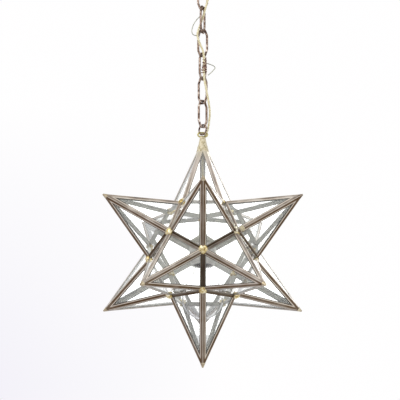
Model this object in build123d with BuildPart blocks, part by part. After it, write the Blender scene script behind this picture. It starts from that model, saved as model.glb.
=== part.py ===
from build123d import *
import itertools
import math
import os

# Hanging star lantern: twelve five-sided glass spikes on an open twelve-sided core,
# leaded together with folded brass cames, hung on a chain of wire links.
# Ceiling plane at Z = 0, star below it, the photographed side towards -Y. Millimetres.

# ---- driving dimensions -------------------------------------------------------------
STAR_REACH = 175.0      # star centre to the sharp outside point of a spike
CORNER_REACH = 86.2     # star centre to the outside of a valley corner
GLASS_T = 2.0           # pane thickness
SLOT_PLAY = 0.05        # pane to came, each side
BRASS_T = 0.5           # wall of the came
FLANGE = 5.0            # came flange, from the fold to its edge
HEART = 1.5             # fold to the bottom of the glass slot
PANE_SIDE = 1.7         # pane edge inset under the spike cames
PANE_BASE = 2.9         # pane edge inset under the valley cames
CORNER_CUT = 4.5        # cames stop this far short of a corner
TIP_CUT = 8.0           # cames stop this far below the sharp point
MITRE_PLAY = 0.02       # half of the joint line between two cames
BEAD_R = 5.7            # solder bead at a corner, flat to flat
BEAD_RISE = 3.6         # bead above the corner
BEAD_LOW = 4.4          # bead below the corner
BEAD_BEVEL = 1.8
BEAD_TURN = 0           # bead flats lie between the came ends

SEAM_SET = 2.0          # door and seat channels start this far from the valley line
CHANNEL_W = 4.0         # width of those channels
CHANNEL_WALL = 0.8      # closed edge of those channels
SEAM_BODY = 0.9         # seat side of the seam at the corner beads
SEAM_DOOR = 0.4         # door side of the seam at the corner beads
CATCH_T = 0.5           # brass strip of the door catch

KNUCKLE_R = 2.0         # hinge tube
PIN_R = 1.0             # hinge pin
PIN_PLAY = 0.05         # radial clearance of the pin
KNUCKLE_GAP = 0.3       # hinge tube to the other side's came, and knuckle to knuckle
DOOR_KNUCKLE = 18.0     # length of the door's knuckle
SEAT_KNUCKLE = 10.0     # length of each knuckle on the star
LEAF_T = 0.8            # soldered foot of a knuckle

LINK_COUNT = 6
LINK_PITCH = 36.84      # contact to contact
LINK_WIRE = 1.7         # wire radius
LINK_HALF_W = 6.8       # half width, to the wire's centre
LINK_END = 3.4          # half width of the flat end, to the wire's centre
LINK_SHOULDER = 11.0    # straight sides end this far from the middle
LINK_BEND = 4.5         # bend at a shoulder, to the wire's centre
LINK_END_BEND = 2.6
CONTACT = 0.3           # play where two links touch
LINK_TURN = [0, 65, -14, 49, -31, 32]
RING_WIRE = 1.3
RING_R = 7.5            # ring radius, to the wire's centre
RING_TURN = -45
EYE_WIRE = 1.2
EYE_W = 14.0            # eye on the cap, to the wire's centre
EYE_H = 6.1

CAP_OVER = 2.5          # brass cap on the top spike: its flat top above the sharp point
CAP_LENGTH = 14.5
CAP_TOP_R = 4.2
CAP_RIM_R = 6.9
CAP_WALL = 0.7
CORD_R = 1.6
CORD_BORE = 2.1         # room for the flex through the top spike
CORD_JOIN = 2.0         # the hanging flex ends this far below the cap

CANOPY_R = 63.5         # ceiling canopy
CANOPY_H = 24.0
CANOPY_WALL = 1.0
CANOPY_FLAT = 24.0      # radius of its flat underside
CANOPY_SHOULDER = 44.0
CANOPY_LIP = 3.0
BAR_SPACING = 88.9      # ceiling box screws
BAR_W = 16.0
BAR_T = 2.0
BAR_SLOT_R = 2.25
NIPPLE_R = 5.0
NIPPLE_BORE = 3.4
NIPPLE_PLAY = 0.1
NIPPLE_BELOW = 6.0      # nipple below the canopy
NUT_R = 8.0
NUT_T = 4.0
COLLAR_R = 7.5          # collar of the loop under the canopy
COLLAR_H = 9.0
LOOP_R = 9.0            # loop under the canopy, to the wire's centre
LOOP_WIRE = 1.8

HOLDER_R = 20.0         # lampholder
HOLDER_TOP = 31.0
HOLDER_RIM = -19.0
BULB_R = 30.0
BULB_MID = -70.0        # centre of the bulb's round end
BULB_WALL = 0.8
NECK_R = 12.7           # bulb neck
NECK_TOP = -13.0
NECK_LOW = -22.0
SWELL_R = 25.0          # a point on the bulb's slope
SWELL_Z = -47.0
MOUNT_R = 4.5           # glass mount that carries the filament
MOUNT_LOW = -46.0
FILAMENT_R = 0.4
FILAMENT_W = 13.0
FILAMENT_LOW = -69.0

os.makedirs("parts", exist_ok=True)

# ---- levels that follow from the dimensions -----------------------------------------
LINK_LEN = LINK_PITCH + 2 * LINK_WIRE + CONTACT
LOOP_LOW = -CANOPY_H - COLLAR_H - 0.5 - 2 * LOOP_R
link_top = LOOP_LOW + LOOP_WIRE + LINK_WIRE + CONTACT
LINK_MID = []
for number in range(LINK_COUNT):
    LINK_MID.append(link_top - LINK_LEN / 2)
    link_top = link_top - LINK_LEN + 2 * LINK_WIRE + CONTACT
LAST_LOW = LINK_MID[-1] - LINK_LEN / 2
RING_MID = LAST_LOW + LINK_WIRE + RING_WIRE + CONTACT - RING_R
EYE_TOP = RING_MID - RING_R + RING_WIRE + EYE_WIRE + CONTACT
CAP_TOP = STAR_REACH + CAP_OVER
CAP_RIM = CAP_TOP - CAP_LENGTH
CORD_END = CAP_RIM - CORD_JOIN
STAR_Z = EYE_TOP - EYE_H - EYE_WIRE - CAP_TOP
STAR = Location((0, 0, STAR_Z))


def save(part, name):
    part.label = name
    export_step(part, "parts/" + name + ".step")


# ---- star lattice: twelve apexes, twenty corners ------------------------------------
def direction(azimuth, latitude):
    az = math.radians(azimuth)
    lat = math.radians(latitude)
    return Vector(math.sin(az) * math.cos(lat), -math.cos(az) * math.cos(lat), math.sin(lat))


LAT = math.degrees(math.atan(0.5))
APEX = {"T": Vector(0, 0, 1), "B": Vector(0, 0, -1)}
for k in range(5):
    APEX["U%d" % k] = direction(72 * k, LAT)
    APEX["L%d" % k] = direction(72 * k + 36, -LAT)


def adjacent(a, b):
    return abs(APEX[a].dot(APEX[b]) - 1 / math.sqrt(5)) < 0.001


CORNER = {}
for trio in itertools.combinations(APEX, 3):
    if all(adjacent(a, b) for a, b in itertools.combinations(trio, 2)):
        CORNER[frozenset(trio)] = (APEX[trio[0]] + APEX[trio[1]] + APEX[trio[2]]).normalized()
VALLEYS = [pair for pair in itertools.combinations(APEX, 2) if adjacent(*pair)]

SPIKE_ANGLE = math.acos(math.sqrt((5 + 2 * math.sqrt(5)) / 15))
CORNER_ANGLE = math.acos(math.sqrt(5) / 3)
HALF = GLASS_T / 2 + SLOT_PLAY + BRASS_T
SLOT = GLASS_T / 2 + SLOT_PLAY


def ring_of_corners(reach):
    low = reach * math.cos(SPIKE_ANGLE)
    out = reach * math.sin(SPIKE_ANGLE)
    return [Vector(out, 0, low).rotate(Axis.Z, 72 * k) for k in range(5)]


outer_base = ring_of_corners(CORNER_REACH)
outer_apex = Vector(0, 0, STAR_REACH)
face_normal = (outer_base[0] - outer_apex).cross(outer_base[1] - outer_apex).normalized()
FACE_DISTANCE = abs(face_normal.dot(outer_apex))
MID = (FACE_DISTANCE - HALF) / FACE_DISTANCE      # star through the middle of the glass
SPIKE = Vector(0, 0, STAR_REACH * MID)
BASE = ring_of_corners(CORNER_REACH * MID)
EDGE = (BASE[1] - BASE[0]).length
CUT_LEVEL = STAR_REACH - TIP_CUT


def square_to(vector, axis):
    return (vector - axis * vector.dot(axis)).normalized()


def spike_place(name):
    corner = next(CORNER[c] for c in CORNER if name in c)
    return Plane(origin=(0, 0, 0), x_dir=square_to(corner, APEX[name]), z_dir=APEX[name]).location


def valley_place(far, near):
    ends = [CORNER[c] for c in CORNER if far in c and near in c]
    out = (ends[0] + ends[1]).normalized()
    along = (ends[1] - ends[0]).normalized()
    if out.cross(along).dot(APEX[near]) > 0:
        along = along * -1
    return Plane(origin=(0, 0, 0), x_dir=along, z_dir=out).location


def corner_place(trio):
    apex = APEX[sorted(trio)[0]]
    out = CORNER[trio]
    return Plane(origin=(0, 0, 0), x_dir=square_to(apex, out), z_dir=out).location


# ---- came sections ------------------------------------------------------------------
# Section coordinates: first the outward direction, then across the came.
def on_pane(lean, q, s, side=1):
    return (q * math.cos(lean) + s * math.sin(lean), side * (q * math.sin(lean) - s * math.cos(lean)))


def fold_section(lean):
    fold = HALF / math.sin(lean)
    reach = [
        (FLANGE, HALF), (FLANGE, SLOT), (HEART, SLOT), (HEART, -SLOT), (FLANGE, -SLOT), (FLANGE, -HALF),
    ]
    right = [on_pane(lean, q, s) for q, s in reach]
    left = [on_pane(lean, q, s, -1) for q, s in reversed(reach)]
    return [(fold, 0)] + right + [(-fold, 0)] + left


def channel_section(lean):
    inner = SEAM_SET
    floor = SEAM_SET + CHANNEL_WALL
    lip = SEAM_SET + CHANNEL_W
    reach = [
        (inner, HALF), (lip, HALF), (lip, SLOT), (floor, SLOT), (floor, -SLOT), (lip, -SLOT), (lip, -HALF),
        (inner, -HALF),
    ]
    return [on_pane(lean, q, s) for q, s in reach]


def mitre(corner, kept, lost):
    normal = ((kept - corner).normalized() - (lost - corner).normalized()).normalized()
    return Plane(origin=corner + normal * MITRE_PLAY, z_dir=normal)


def strip(section, start, end, out, cuts):
    along = (end - start).normalized()
    with BuildPart() as bar:
        with BuildSketch(Plane(origin=start, x_dir=out, z_dir=along)):
            with BuildLine():
                Polyline(*section, close=True)
            make_face()
        extrude(amount=(end - start).length)
        for cut in cuts:
            split(bisect_by=cut, keep=Keep.TOP)
    return bar.part


def end_cut(corner, far):
    along = (far - corner).normalized()
    return Plane(origin=corner + along * CORNER_CUT, z_dir=along)


# One spike, apex up: five cames and five panes.
ridge = (BASE[0] - SPIKE).normalized()
ridge_out = square_to(Vector(1, 0, 0), ridge)
side_a = square_to(BASE[1] - BASE[0], ridge)
RIDGE_LEAN = math.acos(side_a.dot(ridge_out))
ridge_cuts = [
    mitre(BASE[0], SPIKE, BASE[1]),
    mitre(BASE[0], SPIKE, BASE[4]),
    mitre(SPIKE, BASE[0], BASE[1]),
    mitre(SPIKE, BASE[0], BASE[4]),
    end_cut(BASE[0], SPIKE),
    Plane(origin=(0, 0, CUT_LEVEL), z_dir=(0, 0, -1)),
]
ridge_came = strip(fold_section(RIDGE_LEAN), SPIKE, BASE[0], ridge_out, ridge_cuts)
with BuildPart() as spike_cames:
    with PolarLocations(0, 5):
        add(ridge_came)

base_mid = (BASE[0] + BASE[1]) / 2
pane_out = (BASE[0] - SPIKE).cross(BASE[1] - SPIKE).normalized()
pane_height = (SPIKE - base_mid).length
side_shift = PANE_SIDE * math.hypot(pane_height, EDGE / 2) / pane_height
pane_foot = EDGE / 2 * (1 - PANE_BASE / pane_height) - side_shift
pane_peak = pane_height * (1 - 2 * side_shift / EDGE)
with BuildPart() as pane:
    with BuildSketch(Plane(origin=base_mid, x_dir=BASE[1] - BASE[0], z_dir=pane_out)):
        with BuildLine():
            Polyline((-pane_foot, PANE_BASE), (pane_foot, PANE_BASE), (0, pane_peak), close=True)
        make_face()
        foot_corners = vertices().sort_by(Axis.Y)[:2]
        chamfer(foot_corners, 3.4)
        chamfer(vertices().sort_by(Axis.Y)[-1], 4.0)
    extrude(amount=GLASS_T / 2, both=True)
with BuildPart() as spike_glass:
    with PolarLocations(0, 5):
        add(pane.part)

# One valley came, one seam channel: along X, outward up, apexes at -Y and +Y.
VALLEY_H = CORNER_REACH * MID * math.cos(CORNER_ANGLE / 2)
V_START = Vector(-EDGE / 2, 0, VALLEY_H)
V_END = Vector(EDGE / 2, 0, VALLEY_H)
half_apex = math.atan(2) / 2
NEAR = Vector(0, -math.sin(half_apex), math.cos(half_apex)) * (STAR_REACH * MID)
FAR = Vector(0, math.sin(half_apex), math.cos(half_apex)) * (STAR_REACH * MID)
near_side = square_to(NEAR - V_START, Vector(1, 0, 0))
VALLEY_LEAN = math.acos(near_side.dot(Vector(0, 0, 1)))
near_cuts = [mitre(V_START, V_END, NEAR), mitre(V_END, V_START, NEAR)]
far_cuts = [mitre(V_START, V_END, FAR), mitre(V_END, V_START, FAR)]
valley_ends = [end_cut(V_START, V_END), end_cut(V_END, V_START)]
UP = Vector(0, 0, 1)
valley_came = strip(fold_section(VALLEY_LEAN), V_START, V_END, UP, near_cuts + far_cuts + valley_ends)
seam_channel = strip(channel_section(VALLEY_LEAN), V_START, V_END, UP, near_cuts + valley_ends)

# One solder bead: corner outward up, six came ends around it.
bead_corner = Vector(0, 0, CORNER_REACH * MID)
rise = Vector(math.sin(SPIKE_ANGLE), 0, math.cos(SPIKE_ANGLE)) * (STAR_REACH * MID)
fall = Vector(-math.sin(CORNER_ANGLE), 0, math.cos(CORNER_ANGLE)) * (CORNER_REACH * MID)
with BuildPart() as bead:
    with BuildSketch(Plane.XY.offset(bead_corner.Z - BEAD_LOW)):
        RegularPolygon(BEAD_R, 6, major_radius=False, rotation=BEAD_TURN)
    extrude(amount=BEAD_LOW + BEAD_RISE)
    chamfer(faces().sort_by(Axis.Z)[-1].edges(), BEAD_BEVEL)
    for far_end in (rise, fall):
        for k in range(3):
            along = (far_end.rotate(Axis.Z, 120 * k) - bead_corner).normalized()
            split(bisect_by=Plane(origin=bead_corner + along * (CORNER_CUT - MITRE_PLAY), z_dir=along * -1))

# One solder tip over the ends of five cames.
tip_foot = TIP_CUT * BASE[0].X / (SPIKE.Z - BASE[0].Z) * 0.97
with BuildPart() as tip:
    with Locations((0, 0, CUT_LEVEL + MITRE_PLAY)):
        Cone(tip_foot, 1.0, TIP_CUT - 1.2, align=(Align.CENTER, Align.CENTER, Align.MIN))
    fillet(edges().sort_by(Axis.Z)[-1], 0.7)

# ---- eleven fixed spikes ------------------------------------------------------------
DOOR = "U1"
HINGE_SIDE = "U2"
CATCH_CORNER = frozenset(("U0", "U1", "L0"))
for name in APEX:
    if name != DOOR:
        with BuildPart() as cames:
            with Locations(spike_place(name)):
                add(spike_cames.part)
            if name == "T":
                with Locations((0, 0, STAR_REACH * 0.9)):
                    Cylinder(CORD_BORE, STAR_REACH * 0.2, mode=Mode.SUBTRACT)
        save(cames.part.moved(STAR), "cames_spike_" + name)
        with BuildPart() as panes:
            with Locations(spike_place(name)):
                add(spike_glass.part)
        save(panes.part.moved(STAR), "glass_spike_" + name)

# ---- valley cames, in three rounds, and the door's seat ------------------------------
fixed_valleys = [pair for pair in VALLEYS if DOOR not in pair]
rounds = {
    "valley_cames_upper": [p for p in fixed_valleys if APEX[p[0]].Z > 0 < APEX[p[1]].Z],
    "valley_cames_waist": [p for p in fixed_valleys if APEX[p[0]].Z * APEX[p[1]].Z < 0],
    "valley_cames_lower": [p for p in fixed_valleys if APEX[p[0]].Z < 0 > APEX[p[1]].Z],
}
for label, pairs in rounds.items():
    with BuildPart() as group:
        with Locations([valley_place(a, b) for a, b in pairs]):
            add(valley_came)
    save(group.part.moved(STAR), label)

neighbours = [name for name in APEX if name != DOOR and adjacent(name, DOOR)]
with BuildPart() as door_seat:
    with Locations([valley_place(DOOR, name) for name in neighbours]):
        add(seam_channel)
save(door_seat.part.moved(STAR), "door_seat_cames")


# ---- solder -------------------------------------------------------------------------
def seam_plane(name, offset, towards_door):
    across = (APEX[DOOR] - APEX[name]).normalized()
    return Plane(origin=across * offset, z_dir=across if towards_door else across * -1)


def seam_wedge(trio, offset):
    with BuildPart() as wedge:
        with Locations(corner_place(trio)):
            with Locations((0, 0, CORNER_REACH * MID)):
                Box(20, 20, 24)
        for name in sorted(trio - {DOOR}):
            split(bisect_by=seam_plane(name, offset, True), keep=Keep.TOP)
    return wedge.part


def bead_at(trio):
    with BuildPart() as piece:
        with Locations(corner_place(trio)):
            add(bead.part)
        if DOOR in trio:
            add(seam_wedge(trio, -SEAM_BODY), mode=Mode.SUBTRACT)
    return piece.part


def door_bead_at(trio):
    with BuildPart() as piece:
        with Locations(corner_place(trio)):
            add(bead.part)
        for name in sorted(trio - {DOOR}):
            split(bisect_by=seam_plane(name, SEAM_DOOR, True), keep=Keep.TOP)
    return piece.part


beads = [bead_at(trio) for trio in CORNER]
with BuildPart() as corner_solder:
    for piece in beads:
        add(piece)
save(corner_solder.part.moved(STAR), "corner_solder")

tipped = [name for name in APEX if name not in ("T", DOOR)]
with BuildPart() as tip_solder:
    with Locations([spike_place(name) for name in tipped]):
        add(tip.part)
save(tip_solder.part.moved(STAR), "tip_solder")

# ---- door: the upper right spike ----------------------------------------------------
with BuildPart() as door_cames:
    with Locations(spike_place(DOOR)):
        add(spike_cames.part)
        add(tip.part)
save(door_cames.part.moved(STAR), "door_cames")

with BuildPart() as door_glass:
    with Locations(spike_place(DOOR)):
        add(spike_glass.part)
save(door_glass.part.moved(STAR), "door_glass")

door_beads = [door_bead_at(trio) for trio in CORNER if DOOR in trio]
with BuildPart() as door_rim:
    with Locations([valley_place(name, DOOR) for name in neighbours]):
        add(seam_channel)
    for piece in door_beads:
        add(piece)
save(door_rim.part.moved(STAR), "door_rim")

# ---- hinge, in the frame of the valley behind the door -------------------------------
PIN_RISE = (KNUCKLE_R + KNUCKLE_GAP + HALF) / math.sin(VALLEY_LEAN)
hinge_place = valley_place(HINGE_SIDE, DOOR)


def knuckle(start, length, side):
    inner = PIN_RISE * math.cos(VALLEY_LEAN) - 0.5
    lip = SEAM_SET + CHANNEL_W
    foot = [(inner, HALF), (lip, HALF), (lip, HALF + LEAF_T), (inner, HALF + LEAF_T)]
    with BuildPart() as tube:
        with BuildSketch(Plane(origin=(start, 0, VALLEY_H), x_dir=(0, 0, 1), z_dir=(1, 0, 0))):
            with BuildLine():
                Polyline(*[on_pane(VALLEY_LEAN, q, s, side) for q, s in foot], close=True)
            make_face()
            with Locations((PIN_RISE, 0)):
                Circle(KNUCKLE_R)
                Circle(PIN_R + PIN_PLAY, mode=Mode.SUBTRACT)
        extrude(amount=length)
    return tube.part


door_half = DOOR_KNUCKLE / 2
seat_start = door_half + KNUCKLE_GAP
middle_knuckle = knuckle(-door_half, DOOR_KNUCKLE, 1)
with BuildPart() as door_knuckle:
    with Locations(hinge_place):
        add(middle_knuckle)
save(door_knuckle.part.moved(STAR), "door_knuckle")

end_knuckles = [knuckle(start, SEAT_KNUCKLE, -1) for start in (seat_start, -seat_start - SEAT_KNUCKLE)]
with BuildPart() as seat_knuckles:
    with Locations(hinge_place):
        add(end_knuckles)
save(seat_knuckles.part.moved(STAR), "seat_knuckles")

pin_half = seat_start + SEAT_KNUCKLE + 0.1
with BuildPart() as pin:
    with BuildSketch(Plane.YZ.offset(-pin_half)):
        with Locations((0, VALLEY_H + PIN_RISE)):
            Circle(PIN_R)
    extrude(amount=2 * pin_half)
    for level in (-pin_half - 0.8, pin_half):
        with BuildSketch(Plane.YZ.offset(level)):
            with Locations((0, VALLEY_H + PIN_RISE)):
                Circle(PIN_R * 1.7)
        extrude(amount=0.8)
with BuildPart() as hinge_pin:
    with Locations(hinge_place):
        add(pin.part)
save(hinge_pin.part.moved(STAR), "hinge_pin")

# ---- catch: a springy brass angle standing in the seam at the corner opposite the hinge ----
catch_outside = seam_wedge(CATCH_CORNER, -SEAM_BODY)
catch_inside = seam_wedge(CATCH_CORNER, CATCH_T - SEAM_BODY)
with BuildPart() as door_catch:
    with Locations(corner_place(CATCH_CORNER)):
        with Locations((0, 0, CORNER_REACH * MID)):
            Cylinder(4.3, 8.6)
    add(catch_outside, mode=Mode.INTERSECT)
    add(catch_inside, mode=Mode.SUBTRACT)
save(door_catch.part.moved(STAR), "door_catch")

# ---- cap, eye, flex -----------------------------------------------------------------
# The flex runs beside and through the chain: across, depth, links above the ring.
BESIDE_CHAIN = [
    (13.0, -6.0, 6.72),
    (12.0, -7.5, 6.05),
    (9.5, -6.7, 5.47),
    (4.4, -4.4, 4.97),
    (0.2, -1.0, 4.57),
    (-8.9, -3.4, 3.84),
    (-4.6, -5.0, 3.45),
    (1.6, -5.3, 3.07),
    (2.0, -5.3, 2.55),
    (1.7, -5.4, 2.02),
    (5.8, -8.1, 1.42),
    (9.2, -5.5, 0.93),
    (11.0, -1.0, 0.54),
    (9.8, 2.2, 0.22),
    (8.0, 4.8, -0.12),
]
ring_contact = LAST_LOW + LINK_WIRE + CONTACT / 2
cord_points = [Vector(x, y, ring_contact + n * LINK_PITCH) for x, y, n in BESIDE_CHAIN]
cord_points.append(Vector(3.6, 5.4, STAR_Z + CAP_TOP + 4.5))
cord_points.append(Vector(0, 0, STAR_Z + CAP_TOP - 7.5))
cord_points.append(Vector(0, 0, STAR_Z + CORD_END))
CORD_INTO_CAP = cord_points[-3:-1]


def bend_radii(points):
    radii = []
    for before, here, after in zip(points, points[1:], points[2:]):
        run_in = here - before
        run_out = after - here
        turn = math.acos(run_in.normalized().dot(run_out.normalized()))
        radii.append(min(0.45 * min(run_in.length, run_out.length) / math.tan(turn / 2), 400.0))
    return radii


cord_radii = bend_radii(cord_points)
print("flex bend radii", [round(r, 1) for r in cord_radii])
with BuildPart() as supply_cord:
    with BuildLine() as cord_line:
        FilletPolyline(*cord_points, radius=cord_radii)
    with BuildSketch(Plane(origin=cord_points[0], z_dir=cord_line.line % 0)):
        Circle(CORD_R)
    sweep(path=cord_line.line)
flex_length = cord_line.wires()[0].length
print("flex length", round(flex_length, 1), "volume ratio",
      supply_cord.part.volume / (flex_length * math.pi * CORD_R ** 2))
save(supply_cord.part, "supply_cord")

with BuildPart() as inner_cord:
    with BuildSketch(Plane.XY.offset(HOLDER_TOP - 3.0)):
        Circle(CORD_R)
    extrude(amount=CORD_END - HOLDER_TOP + 3.0)
save(inner_cord.part.moved(STAR), "inner_cord")

with BuildPart() as cord_hole:
    with BuildLine() as hole_line:
        Line(CORD_INTO_CAP[0], CORD_INTO_CAP[1])
    with BuildSketch(Plane(origin=CORD_INTO_CAP[0], z_dir=hole_line.line % 0)):
        Circle(CORD_BORE)
    sweep(path=hole_line.line)
with BuildPart() as top_cap:
    with BuildSketch(Plane.XZ):
        with BuildLine():
            Polyline(
                (0, CAP_TOP), (CAP_TOP_R, CAP_TOP), (CAP_RIM_R, CAP_RIM),
                (CAP_RIM_R - CAP_WALL, CAP_RIM), (CAP_TOP_R - CAP_WALL, CAP_TOP - CAP_WALL - 0.2),
                (0, CAP_TOP - CAP_WALL - 0.2), close=True,
            )
        make_face()
    revolve(axis=Axis.Z)
    add(cord_hole.part.moved(Location((0, 0, -STAR_Z))), mode=Mode.SUBTRACT)
save(top_cap.part.moved(STAR), "top_cap")

eye_mid = CAP_TOP + EYE_WIRE + EYE_H / 2
eye_flat = (EYE_W - EYE_H) / 2
with BuildPart() as hanging_eye:
    with BuildLine() as eye_line:
        Line((-eye_flat, 0, eye_mid + EYE_H / 2), (eye_flat, 0, eye_mid + EYE_H / 2))
        ThreePointArc(
            (eye_flat, 0, eye_mid + EYE_H / 2), (EYE_W / 2, 0, eye_mid), (eye_flat, 0, eye_mid - EYE_H / 2)
        )
        Line((eye_flat, 0, eye_mid - EYE_H / 2), (-eye_flat, 0, eye_mid - EYE_H / 2))
        ThreePointArc(
            (-eye_flat, 0, eye_mid - EYE_H / 2), (-EYE_W / 2, 0, eye_mid), (-eye_flat, 0, eye_mid + EYE_H / 2)
        )
    with BuildSketch(Plane(origin=eye_line.line @ 0, z_dir=eye_line.line % 0)):
        Circle(EYE_WIRE)
    sweep(path=eye_line.line)
save(hanging_eye.part.moved(STAR), "hanging_eye")

# ---- chain --------------------------------------------------------------------------
half_len = LINK_LEN / 2
link_points = [
    (LINK_END, half_len), (LINK_HALF_W, LINK_SHOULDER), (LINK_HALF_W, -LINK_SHOULDER),
    (LINK_END, -half_len), (-LINK_END, -half_len), (-LINK_HALF_W, -LINK_SHOULDER),
    (-LINK_HALF_W, LINK_SHOULDER), (-LINK_END, half_len),
]
link_radii = [LINK_END_BEND, LINK_BEND, LINK_BEND, LINK_END_BEND] * 2
with BuildPart() as link:
    with BuildLine(Plane.XZ) as link_line:
        FilletPolyline(*link_points, radius=link_radii, close=True)
    with BuildSketch(Plane(origin=link_line.line @ 0, z_dir=link_line.line % 0)):
        Circle(LINK_WIRE)
    sweep(path=link_line.line)
for number in range(LINK_COUNT):
    place = Location((0, 0, LINK_MID[number]), (0, 0, LINK_TURN[number]))
    save(link.part.moved(place), "chain_link_%d" % (number + 1))

with BuildPart() as ring:
    with Locations(Location((0, 0, 0), (90, 0, 0))):
        Torus(RING_R, RING_WIRE)
save(ring.part.moved(Location((0, 0, RING_MID), (0, 0, RING_TURN))), "hanging_ring")

# ---- ceiling fitting ----------------------------------------------------------------
canopy_hole = NIPPLE_R + 3 * NIPPLE_PLAY
shoulder_z = -CANOPY_H * 0.78
lip_inside = CANOPY_R - CANOPY_WALL
floor_z = CANOPY_WALL - CANOPY_H
with BuildPart() as canopy:
    with BuildSketch(Plane.XZ):
        with BuildLine():
            Polyline((canopy_hole, -CANOPY_H), (CANOPY_FLAT, -CANOPY_H))
            Spline(
                (CANOPY_FLAT, -CANOPY_H), (CANOPY_SHOULDER, shoulder_z), (CANOPY_R, -CANOPY_LIP),
                tangents=[(1, 0), (0.25, 1)],
            )
            Polyline(
                (CANOPY_R, -CANOPY_LIP), (CANOPY_R, 0), (lip_inside, 0), (lip_inside, -CANOPY_LIP)
            )
            Spline(
                (lip_inside, -CANOPY_LIP), (CANOPY_SHOULDER - 0.6 * CANOPY_WALL, shoulder_z + CANOPY_WALL),
                (CANOPY_FLAT, floor_z),
                tangents=[(-0.25, -1), (-1, 0)],
            )
            Polyline((CANOPY_FLAT, floor_z), (canopy_hole, floor_z), (canopy_hole, -CANOPY_H))
        make_face()
    revolve(axis=Axis.Z)
    with Locations((cord_points[0].X, cord_points[0].Y, -CANOPY_H)):
        Cylinder(CORD_R + 0.8, 6 * CANOPY_WALL, mode=Mode.SUBTRACT)
save(canopy.part, "ceiling_canopy")

with BuildPart() as crossbar:
    with BuildSketch(Plane.XY.offset(-BAR_T)):
        SlotOverall(BAR_SPACING + BAR_W, BAR_W)
        Circle(NIPPLE_R + 1.5 * NIPPLE_PLAY, mode=Mode.SUBTRACT)
        with Locations((-BAR_SPACING / 2, 0), (BAR_SPACING / 2, 0)):
            Circle(BAR_SLOT_R, mode=Mode.SUBTRACT)
    extrude(amount=BAR_T)
save(crossbar.part, "mounting_crossbar")

with BuildPart() as nipple:
    with BuildSketch(Plane.XY.offset(-CANOPY_H - NIPPLE_BELOW)):
        Circle(NIPPLE_R)
        Circle(NIPPLE_BORE, mode=Mode.SUBTRACT)
    extrude(amount=CANOPY_H + NIPPLE_BELOW)
save(nipple.part, "canopy_nipple")

with BuildPart() as nut:
    with BuildSketch(Plane.XY.offset(-BAR_T - NUT_T - 0.1)):
        RegularPolygon(NUT_R, 6)
        Circle(NIPPLE_R + NIPPLE_PLAY, mode=Mode.SUBTRACT)
    extrude(amount=NUT_T)
save(nut.part, "crossbar_nut")

loop_mid = LOOP_LOW + LOOP_R
with BuildPart() as canopy_loop:
    with BuildSketch(Plane.XY.offset(-CANOPY_H - COLLAR_H)):
        Circle(COLLAR_R)
    extrude(amount=COLLAR_H)
    with BuildSketch(Plane.XY.offset(-CANOPY_H - NIPPLE_BELOW - 0.2)):
        Circle(NIPPLE_R + NIPPLE_PLAY)
    extrude(amount=NIPPLE_BELOW + 0.2, mode=Mode.SUBTRACT)
    with Locations(Location((0, 0, loop_mid), (0, 90, 0))):
        Torus(LOOP_R, LOOP_WIRE)
save(canopy_loop.part, "canopy_loop")

# ---- lampholder and bulb ------------------------------------------------------------
with BuildPart() as holder_cap:
    with BuildSketch(Plane.XZ):
        with BuildLine():
            Polyline(
                (CORD_R + 0.1, HOLDER_TOP), (5.0, HOLDER_TOP), (6.0, HOLDER_TOP - 4), (17.0, 19.5),
                (HOLDER_R, 15.5), (HOLDER_R, 12.1), (HOLDER_R - 1.4, 12.1), (HOLDER_R - 1.4, 15.0),
                (16.2, 18.4), (4.8, HOLDER_TOP - 5.2), (CORD_R + 0.1, HOLDER_TOP - 5.2), close=True,
            )
        make_face()
    revolve(axis=Axis.Z)
save(holder_cap.part.moved(STAR), "lampholder_cap")

with BuildPart() as holder_body:
    with BuildSketch(Plane.XZ):
        with BuildLine():
            Polyline(
                (2.0, 12.0), (HOLDER_R, 12.0), (HOLDER_R, HOLDER_RIM + 5), (17.2, HOLDER_RIM),
                (14.6, HOLDER_RIM), (14.6, 9.7), (2.0, 9.7), close=True,
            )
        make_face()
    revolve(axis=Axis.Z)
save(holder_body.part.moved(STAR), "lampholder_body")

with BuildPart() as shell:
    with BuildSketch(Plane.XZ):
        with BuildLine():
            Polyline(
                (6.0, 9.6), (14.4, 9.6), (14.4, -16), (13.7, -16), (13.7, 8.9), (6.0, 8.9), close=True
            )
        make_face()
    revolve(axis=Axis.Z)
save(shell.part.moved(STAR), "screw_shell")

with BuildPart() as contact:
    with Locations((0, 0, 8.6)):
        Cylinder(4.5, 1.0, align=(Align.CENTER, Align.CENTER, Align.MIN))
save(contact.part.moved(STAR), "centre_contact")

base_r = NECK_R + 0.5
with BuildPart() as bulb_base:
    with BuildSketch(Plane.XZ):
        with BuildLine():
            Polyline(
                (0, 8.5), (4.6, 8.5), (9.0, 6.8), (base_r, 4.0), (base_r, -18.0), (base_r - 0.3, -18.0),
                (base_r - 0.3, 3.4), (8.8, 6.0), (0, 6.0), close=True,
            )
        make_face()
    revolve(axis=Axis.Z)
save(bulb_base.part.moved(STAR), "bulb_base")

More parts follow.
